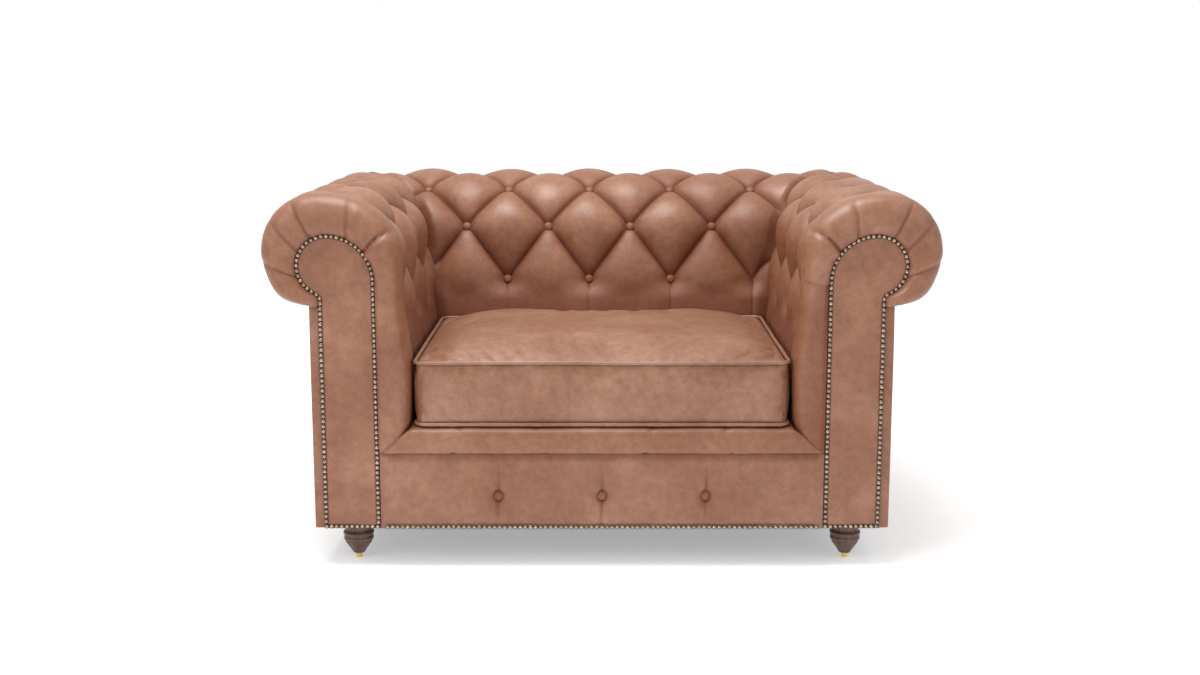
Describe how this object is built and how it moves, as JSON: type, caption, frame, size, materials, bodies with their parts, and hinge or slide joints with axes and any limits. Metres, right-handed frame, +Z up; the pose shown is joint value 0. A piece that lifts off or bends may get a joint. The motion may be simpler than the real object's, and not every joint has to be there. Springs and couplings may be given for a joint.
{
  "type": "armchair",
  "caption": "Wide leather armchair with rolled, deep-buttoned arms and back, nailed facings, loose boxed seat cushion and turned feet.",
  "frame": {"origin": "on the floor, under the middle of the chair seen from above", "axes": "+Z up, -Y is the front where the sitter faces, +X on the right of someone who looks at the front"},
  "size_m": [1.4, 0.97, 0.785],
  "materials": {
    "leather": "waxed, mottled tan, semi-gloss",
    "foot_wood": "dark walnut, satin",
    "frame_wood": "sawn hardwood",
    "brass_stud": "polished",
    "nail_brass": "antiqued",
    "steel": "plain",
    "jute": "woven",
    "foam": "foam",
    "black_cloth": "spun cloth",
    "zip_tape": "woven tape",
    "zip_metal": "antiqued"
  },
  "bodies": {
    "chair": {"arm_webbing": "jute", "back_buttons": "leather", "back_centre_upright": "frame_wood", "back_cover": "leather", "back_inside_pad": "foam", "back_outside_panel": "leather", "back_rail": "frame_wood", "back_roll_pad": "foam", "back_tack_rail": "frame_wood", "back_top_rail": "frame_wood", "back_webbing": "jute", "corner_blocks": "frame_wood", "dust_cover": "black_cloth", "foot_bolts": "steel", "front_buttons": "leather", "front_left_foot": "foot_wood", "front_lip_cover": "leather", "front_lip_pad": "foam", "front_panel_cover": "leather", "front_panel_pad": "foam", "front_rail": "frame_wood", "front_rail_nails": "nail_brass", "front_right_foot": "foot_wood", "glides": "brass_stud", "left_arm_buttons": "leather", "left_arm_cover": "leather", "left_arm_inside_pad": "foam", "left_arm_rail": "frame_wood", "left_arm_roll_pad": "foam", "left_arm_tack_rail": "frame_wood", "left_back_post": "frame_wood", "left_facing_board": "frame_wood", "left_facing_cover": "leather", "left_facing_nails": "nail_brass", "left_front_post": "frame_wood", "left_outside_panel": "leather", "left_side_rail": "frame_wood", "rear_left_foot": "foot_wood", "rear_right_foot": "foot_wood", "right_arm_buttons": "leather", "right_arm_cover": "leather", "right_arm_inside_pad": "foam", "right_arm_rail": "frame_wood", "right_arm_roll_pad": "foam", "right_arm_tack_rail": "frame_wood", "right_back_post": "frame_wood", "right_facing_board": "frame_wood", "right_facing_cover": "leather", "right_facing_nails": "nail_brass", "right_front_post": "frame_wood", "right_outside_panel": "leather", "right_side_rail": "frame_wood", "seat_deck": "black_cloth", "seat_springs": "steel", "spring_clips": "steel"},
    "seat_cushion": {"seat_cushion_core": "foam", "seat_cushion_cover": "leather", "seat_cushion_piping": "leather", "cushion_zip": "zip_tape"},
    "zip_slider": {"zip_slider": "zip_metal"}
  },
  "joints": [
    {"name": "cushion_lift", "type": "slide", "parent": "chair", "child": "seat_cushion", "axis": [0, 0, 1], "range_m": [0, 0.55]},
    {"name": "zip_travel", "type": "slide", "parent": "seat_cushion", "child": "zip_slider", "axis": [1, 0, 0], "range_m": [0, 0.61]}
  ]
}
